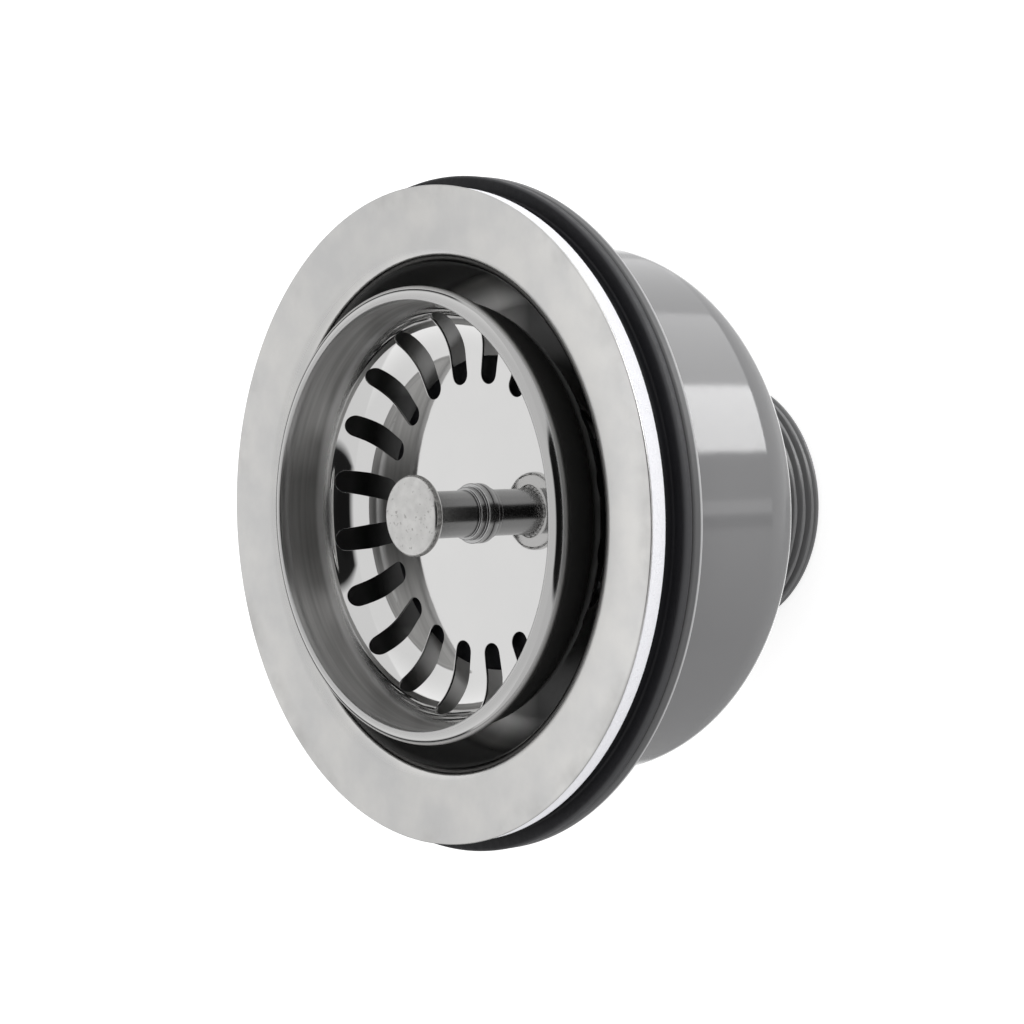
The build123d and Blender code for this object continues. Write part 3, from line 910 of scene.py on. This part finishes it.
# Basket: a bowl drawn from stainless sheet, with a mirror-polished floor and corner, a brushed wall
# and an outside painted darker as shade. Twenty slots are punched through its floor and up its
# rounded corner, and its rim is rolled outwards and down.
basket_low, basket_high = box_mm("basket")
BASKET_AROUND = 480
BASKET_SHEET = 0.6
BASKET_CORNER = 8.6
RIM_ROLL = 1.3
RIM_INNER = 0.5
RIM_OUTER = 2.1
RIM_WRAP = radians(25)
SLOT_COUNT = 20
SLOT_HALF = 2.05
SLOT_REACH = 5.3
SLOT_CLIMB = radians(47)
SLOT_START = radians(8)
SLOT_STEPS = 16
PANEL_REACH = 7.5
PANEL_CLIMB = radians(72)
SLOT_ACROSS = BASKET_AROUND // SLOT_COUNT
SLOT_ALONG = 34
ARC_STEPS = 18
basket_floor = basket_low.z + BASKET_SHEET
basket_radius = basket_high.x - 2 * RIM_ROLL
corner_radius = basket_radius - BASKET_CORNER
corner_height = basket_floor + BASKET_CORNER


def bowl_surface(point):
    """The bowl's inner face, at a way along it from where the corner starts and at an angle."""
    climb = max(point.x, 0) / BASKET_CORNER
    radius = corner_radius + min(point.x, 0) + BASKET_CORNER * sin(climb)
    height = corner_height - BASKET_CORNER * cos(climb)
    along = Vector((cos(point.y), sin(point.y), 0))
    return along * radius + Vector((0, 0, height)), Vector((0, 0, cos(climb))) - along * sin(climb)


def slot_outline(angle):
    """The outline of one slot: straight parallel sides and round ends."""
    ends = ((SLOT_CLIMB * BASKET_CORNER, -pi / 2), (SLOT_HALF - SLOT_REACH, pi / 2))
    outline = []
    for middle, start in ends:
        for k in range(SLOT_STEPS + 1):
            turn = start + pi * k / SLOT_STEPS
            way = middle + SLOT_HALF * cos(turn)
            radius = hypot(*bowl_surface(Vector((way, 0)))[0].xy)
            outline.append(Vector((way, angle + asin(SLOT_HALF * sin(turn) / radius))))
    return outline


rim_centre = basket_radius + RIM_INNER
rim_arcs = ((-RIM_WRAP, pi / 2, RIM_OUTER), (pi / 2, pi, RIM_INNER))
rim_face = []
for start, end, radius in rim_arcs:
    for k in range(ARC_STEPS + 1):
        turn = start + (end - start) * k / ARC_STEPS
        height = basket_high.z + radius * (sin(turn) - 1)
        rim_face.append((rim_centre + radius * cos(turn), height, cos(turn), sin(turn)))
for k in range(ARC_STEPS + 1):
    turn = pi / 2 + (PANEL_CLIMB - pi / 2) * k / ARC_STEPS
    place, normal = bowl_surface(Vector((turn * BASKET_CORNER, 0)))
    rim_face.append((place.x, place.z, normal.x, normal.z))
floor_face = [
    (STACK_HOLE + BASKET_SHEET / 2, basket_floor, 0, 1),
    (corner_radius - PANEL_REACH, basket_floor, 0, 1),
]
panel_half = pi / SLOT_COUNT
bowl = Skin()
for face in (rim_face, floor_face):
    outline = sheet(face, BASKET_SHEET)
    bowl.spin(outline, around=BASKET_AROUND, start=SLOT_START - panel_half)
for k in range(SLOT_COUNT):
    angle = SLOT_START + 2 * pi * k / SLOT_COUNT
    pierce(
        bowl,
        bowl_surface,
        BASKET_SHEET,
        slot_outline(angle),
        Vector((-PANEL_REACH, angle - panel_half)),
        Vector((PANEL_CLIMB * BASKET_CORNER, angle + panel_half)),
        SLOT_ACROSS,
        SLOT_ALONG,
    )

MIRROR = (0.690, 0.686, 0.680)
MIRROR_DULL = (0.655, 0.653, 0.650)
# The basket's outside is painted darker as shade.
OUTSIDE_PAINTED_SHADE = (0.240, 0.238, 0.235)
WALL_GREY = (0.580, 0.575, 0.567)
WALL_DARK = (0.400, 0.397, 0.391)
WALL_LOW = (corner_height - 1.2) * MM
WALL_HIGH = (corner_height - 0.4) * MM
BRUSHED = (25.0, 25.0, 900.0)
BRUSH_DETAIL = 3.0
RIM_GREY = (0.480, 0.477, 0.473)
RIM_SATIN = 0.25
RIM_LOW = (basket_high.z - 2.4) * MM
RIM_HIGH = (basket_high.z - 1.4) * MM
OUTWARD = 0.01
MIRROR_CLOUDS = 90.0
MIRROR_WAVE_DETAIL = 2.0
MIRROR_WAVE_HEIGHT = 0.02 * MM
POLISH = (
    (basket_floor * MM, 0.04),
    ((corner_height - 3.4) * MM, 0.05),
    ((corner_height - 2.2) * MM, 0.28),
    ((corner_height - 1.0) * MM, 0.42),
    ((basket_high.z - 1.6) * MM, 0.42),
    ((basket_high.z - 1.0) * MM, 0.08),
    (basket_high.z * MM, 0.08),
)
polished_steel, tree, shader = finish("polished_steel", MIRROR, metallic=1.0, roughness=0.05)
place = add_node(tree, "ShaderNodeTexCoord")
facing = add_node(tree, "ShaderNodeVectorMath", operation="DOT_PRODUCT")
tree.links.new(from_axis(tree), facing.inputs[0])
tree.links.new(place.outputs["Normal"], facing.inputs[1])
outside = rising(tree, facing.outputs["Value"], 0.0, OUTWARD)
rim = rising(tree, height_above(tree), RIM_LOW, RIM_HIGH)
wall = rising(tree, height_above(tree), WALL_LOW, WALL_HIGH)
stretched = add_node(tree, "ShaderNodeMapping", {"Scale": BRUSHED})
brush_lines = add_node(tree, "ShaderNodeTexNoise", {"Scale": 1.0, "Detail": BRUSH_DETAIL})
tree.links.new(place.outputs["Object"], stretched.inputs["Vector"])
tree.links.new(stretched.outputs["Vector"], brush_lines.inputs["Vector"])
brushing = rising(tree, brush_lines.outputs["Fac"], NOISE_LOW, NOISE_HIGH)
wall_tint = blend(tree, brushing, WALL_DARK, WALL_GREY)
mirror_tint = blend(tree, grain(tree, MIRROR_CLOUDS), MIRROR_DULL, MIRROR)
inside_tint = blend(tree, wall, mirror_tint, wall_tint)
bowl_tint = blend(tree, outside, inside_tint, OUTSIDE_PAINTED_SHADE)
tree.links.new(blend(tree, rim, bowl_tint, RIM_GREY), shader.inputs["Base Color"])
inner_rim = calculate(tree, "MULTIPLY", calculate(tree, "SUBTRACT", 1.0, outside), rim)
polish = ramp(tree, height_above(tree), POLISH)
polish = calculate(tree, "MULTIPLY_ADD", inner_rim, RIM_SATIN, polish)
tree.links.new(polish, shader.inputs["Roughness"])
bumps(tree, shader, grain(tree, MIRROR_CLOUDS, MIRROR_WAVE_DETAIL), MIRROR_WAVE_HEIGHT)
bowl.build("basket_bowl", polished_steel, "strainer", "basket")

# Knob post: turned from steel bar and screwed down on the stem. A stepped foot stands on the
# basket's floor, and the disc on top, dull and specked, is gripped by the fingers.
post_low, post_high = box_mm("knob_post")
POST_RADIUS = 4.15
STEP_RADIUS = 4.7
FOOT_RADIUS = 5.35
FOOT_HEIGHT = 1.2
STEP_HEIGHT = 1.3
KNOB_THICKNESS = 2.0
KNOB_EDGE = 0.7
KNOB_NECK = 0.8
SPIGOT_CLEARANCE = 0.2
hole_top = stem_high.z + SPIGOT_CLEARANCE
knob_under = post_high.z - KNOB_THICKNESS
foot_top = post_low.z + FOOT_HEIGHT
step_top = foot_top + STEP_HEIGHT
post_corners = [
    (0, hole_top, 0),
    (STACK_HOLE, hole_top, FINE_EDGE),
    (STACK_HOLE, post_low.z, FINE_EDGE),
    (FOOT_RADIUS, post_low.z, FINE_EDGE),
    (FOOT_RADIUS, foot_top, SOFT_EDGE),
    (STEP_RADIUS, foot_top, FINE_EDGE),
    (STEP_RADIUS, step_top, SOFT_EDGE),
    (POST_RADIUS, step_top, FINE_EDGE),
    (POST_RADIUS, knob_under, KNOB_NECK),
    (post_high.x, knob_under, KNOB_EDGE),
    (post_high.x, post_high.z, KNOB_EDGE),
    (0, post_high.z, 0),
]
POST_BRIGHT = (0.580, 0.575, 0.565)
POST_DULL = (0.480, 0.476, 0.468)
POST_SPECK = (0.330, 0.325, 0.315)
# Painted shade and highlight below the knob: dark lines at the foot's bottom and in the creases above
# the foot and the step, and a painted highlight just under the knob.
NECK_SHADE_AND_HIGHLIGHT = (
    (post_low.z * MM, 0.06),
    ((post_low.z + 0.3) * MM, 0.30),
    ((foot_top - 0.2) * MM, 0.45),
    ((foot_top + 0.02) * MM, 0.45),
    ((foot_top + 0.15) * MM, 0.06),
    ((foot_top + 0.5) * MM, 0.25),
    ((step_top - 0.1) * MM, 0.40),
    ((step_top + 0.02) * MM, 0.40),
    ((step_top + 0.2) * MM, 0.06),
    ((step_top + 0.6) * MM, 0.29),
    ((knob_under - KNOB_NECK) * MM, 0.29),
    ((knob_under - 0.1) * MM, 0.95),
    (knob_under * MM, 0.95),
)
TURNED = (
    (post_low.z * MM, 0.23),
    ((knob_under - KNOB_NECK) * MM, 0.23),
    ((knob_under - 0.1) * MM, 0.05),
    ((knob_under + 0.05) * MM, 0.05),
    ((knob_under + 0.2) * MM, 0.24),
    ((post_high.z - 0.4) * MM, 0.24),
    ((post_high.z - 0.1) * MM, 0.3),
)
KNOB_LOW = (knob_under + 0.1) * MM
KNOB_HIGH = (knob_under + 0.6) * MM
KNOB_CLOUDS = 450.0
KNOB_CLOUD_DETAIL = 4.0
SPECK_GRAIN = 1100.0
SPECK_DETAIL = 2.0
SPECK_RANGE = (0.62, 0.70)
post_steel, tree, shader = finish("post_steel", POST_BRIGHT, metallic=1.0, roughness=0.1)
clouds = rising(tree, grain(tree, KNOB_CLOUDS, KNOB_CLOUD_DETAIL), NOISE_LOW, NOISE_HIGH)
cloudy = blend(tree, clouds, POST_DULL, POST_BRIGHT)
speck = rising(tree, grain(tree, SPECK_GRAIN, SPECK_DETAIL), *SPECK_RANGE)
knob_part = rising(tree, height_above(tree), KNOB_LOW, KNOB_HIGH)
knob_tint = blend(tree, speck, cloudy, POST_SPECK)
neck_shade_and_highlight = ramp(tree, height_above(tree), NECK_SHADE_AND_HIGHLIGHT)
tree.links.new(blend(tree, knob_part, neck_shade_and_highlight, knob_tint), shader.inputs["Base Color"])
tree.links.new(ramp(tree, height_above(tree), TURNED), shader.inputs["Roughness"])
knob = Skin()
knob.spin(rounded(post_corners, closed=False))
knob.build("post_with_knob", post_steel, "strainer", "knob_post")

# Floor: a plain sheet of paper that the waste stands on. It glows, so that it stays white, and the
# glossy pieces don't mirror it.
FLOOR_HALF = 3.0
FLOOR_GLOW = 0.70
PAPER = (0.60, 0.60, 0.60)
PAPER_SHADE = (0.57, 0.57, 0.57)
PAPER_CLOUDS = 3.0
paper, tree, shader = finish("paper", PAPER, metallic=0.0, roughness=0.9)
tree.links.new(blend(tree, grain(tree, PAPER_CLOUDS), PAPER_SHADE, PAPER), shader.inputs["Base Color"])
shader.inputs["Specular IOR Level"].default_value = 0.0
shader.inputs["Emission Color"].default_value = (1.0, 1.0, 1.0, 1.0)
shader.inputs["Emission Strength"].default_value = FLOOR_GLOW
floor_mesh = bpy.data.meshes.new("floor")
floor_corners = [(x * FLOOR_HALF, y * FLOOR_HALF, 0) for x, y in ((-1, -1), (1, -1), (1, 1), (-1, 1))]
floor_mesh.from_pydata(floor_corners, [], [(0, 1, 2, 3)])
floor_mesh.materials.append(paper)
ground = bpy.data.objects.new("floor", floor_mesh)
bpy.context.scene.collection.objects.link(ground)
ground.visible_glossy = False

# Light: a white screen behind the waste, a white panel at each side, a dim room that is darkest
# round the camera, and a soft lamp for the matt pieces. Below the floor only reflections see the
# bright table and the panels that show in the grey wall. The backdrop is white.
VIEW_AZIMUTH = radians(1.55)
VIEW_ELEVATION = radians(40.78)
VIEW_ROLL = radians(-1.36)
SCREEN = 0.90
SCREEN_LOW = 1.26
ROOM = 0.015
LENS_DARK = 0.01
SCREEN_FADE = 0.16
SCREEN_FULL = 0.36
SCREEN_FOOT = 0.15
SCREEN_TOP = 0.8
SIDES = 0.85
SIDES_LOW = -0.03
SIDES_HIGH = 0.98
SIDES_START = radians(38)
SIDES_END = radians(115)
SIDES_SOFT = 0.03
SIDES_FADE = radians(3)
SCREEN_BASE = 0.12
SCREEN_CLEAR = 0.28
DARK_EDGE = cos(radians(20))
DARK_CORE = cos(radians(15))
PANEL_TOP = -0.35
PANEL_BOTTOM = -0.755
PANEL_SOFT = radians(1)
PANEL_EDGE = 0.01
HORIZON = 0.01
FLOOR_BELOW = (
    (radians(-150), 0.4),
    (radians(-60), 0.55),
    (radians(-15), 0.9),
    (radians(140), 0.9),
    (pi, 0.5),
)
PANELS = (
    (radians(-9.5), radians(-3.5), -0.6),
    (radians(-3.5), radians(2.5), 0.9),
    (radians(23.6), radians(54), 8.0),
    (radians(54), radians(93), 1.9),
    (radians(93), radians(140), 0.5),
)
TABLE_GLOW = 1.2
TABLE_CORE = -0.97
TABLE_EDGE = -0.90
LAMP_PLACE = Vector((0.9, 0.6, 0.8))
LAMP_SIZE = 0.9
LAMP_POWER = 8.0
level = cos(VIEW_ELEVATION)
camera_way = Vector((level * cos(VIEW_AZIMUTH), level * sin(VIEW_AZIMUTH), sin(VIEW_ELEVATION)))
screen_way = Vector((-camera_way.x, -camera_way.y, camera_way.z))

lamp_data = bpy.data.lights.new("soft_lamp", "AREA")
lamp_data.size = LAMP_SIZE
lamp_data.energy = LAMP_POWER
lamp = bpy.data.objects.new("soft_lamp", lamp_data)
lamp.location = LAMP_PLACE
lamp.rotation_euler = LAMP_PLACE.to_track_quat("Z", "Y").to_euler()
lamp.visible_glossy = False
bpy.context.scene.collection.objects.link(lamp)

world = bpy.data.worlds.new("tent")
bpy.context.scene.world = world
world.use_nodes = True
tree = world.node_tree


def between(tree, value, low, high, soft):
    """1 where the value is between low and high, 0 outside, and soft at both ends."""
    start = rising(tree, value, low - soft, low + soft)
    end = falling(tree, value, high - soft, high + soft)
    return calculate(tree, "MULTIPLY", start, end)


direction = add_node(tree, "ShaderNodeTexCoord").outputs["Generated"]
to_camera = add_node(tree, "ShaderNodeVectorMath", {1: camera_way}, operation="DOT_PRODUCT")
to_screen = add_node(tree, "ShaderNodeVectorMath", {1: screen_way}, operation="DOT_PRODUCT")
tree.links.new(direction, to_camera.inputs[0])
tree.links.new(direction, to_screen.inputs[0])
split = add_node(tree, "ShaderNodeSeparateXYZ")
tree.links.new(direction, split.inputs["Vector"])
azimuth = calculate(tree, "ARCTAN2", split.outputs["Y"], split.outputs["X"])
room = spread(tree, to_camera.outputs["Value"], ROOM, LENS_DARK, DARK_EDGE, DARK_CORE)
reach = rising(tree, to_screen.outputs["Value"], SCREEN_FADE, SCREEN_FULL)
strength = spread(tree, split.outputs["Z"], SCREEN_LOW, SCREEN, SCREEN_FOOT, SCREEN_TOP)
clear = rising(tree, split.outputs["Z"], SCREEN_BASE, SCREEN_CLEAR)
screen = calculate(tree, "MULTIPLY", calculate(tree, "MULTIPLY", reach, clear), strength)
sides_height = between(tree, split.outputs["Z"], SIDES_LOW, SIDES_HIGH, SIDES_SOFT)
either_side = calculate(tree, "ABSOLUTE", azimuth)
sides_width = between(tree, either_side, SIDES_START, SIDES_END, SIDES_FADE)
sides = calculate(tree, "MULTIPLY", calculate(tree, "MULTIPLY", sides_height, sides_width), SIDES)
above = calculate(tree, "ADD", calculate(tree, "MAXIMUM", screen, sides), room)
behind = spread(tree, to_camera.outputs["Value"], TABLE_GLOW, 0.0, TABLE_CORE, TABLE_EDGE)
below = calculate(tree, "ADD", ramp(tree, azimuth, FLOOR_BELOW), behind)
heights = between(tree, split.outputs["Z"], PANEL_BOTTOM, PANEL_TOP, PANEL_EDGE)
for start, end, radiance in PANELS:
    panel = calculate(tree, "MULTIPLY", between(tree, azimuth, start, end, PANEL_SOFT), heights)
    below = calculate(tree, "MULTIPLY_ADD", panel, radiance, below)
upward = rising(tree, split.outputs["Z"], -HORIZON, HORIZON)
lower_part = calculate(tree, "MULTIPLY", below, calculate(tree, "SUBTRACT", 1.0, upward))
light = calculate(tree, "MULTIPLY_ADD", above, upward, lower_part)
backdrop = add_node(tree, "ShaderNodeLightPath").outputs["Is Camera Ray"]
light = calculate(tree, "MAXIMUM", light, backdrop)
tree.links.new(light, tree.nodes["Background"].inputs["Strength"])
tree.nodes["Background"].inputs["Color"].default_value = (1.0, 1.0, 1.0, 1.0)

# Camera: above the side of the flange and looking down on it, as in the photograph. The Y axis is
# upright in the picture.
CAMERA_PLACE = Vector((315.1, 8.5, 328.1))
LENS = 81.56
SENSOR = 36.0
camera_data = bpy.data.cameras.new("camera")
camera_data.lens = LENS
camera_data.sensor_width = SENSOR
camera = bpy.data.objects.new("camera", camera_data)
bpy.context.scene.collection.objects.link(camera)
side = Vector((0, 1, 0)).cross(camera_way).normalized()
upright = Matrix((side, camera_way.cross(side), camera_way)).transposed()
turned = upright @ Matrix.Rotation(VIEW_ROLL, 3, "Z")
camera.matrix_world = Matrix.Translation(CAMERA_PLACE * MM) @ turned.to_4x4()
bpy.context.scene.camera = camera
bpy.context.scene.view_settings.view_transform = "Standard"
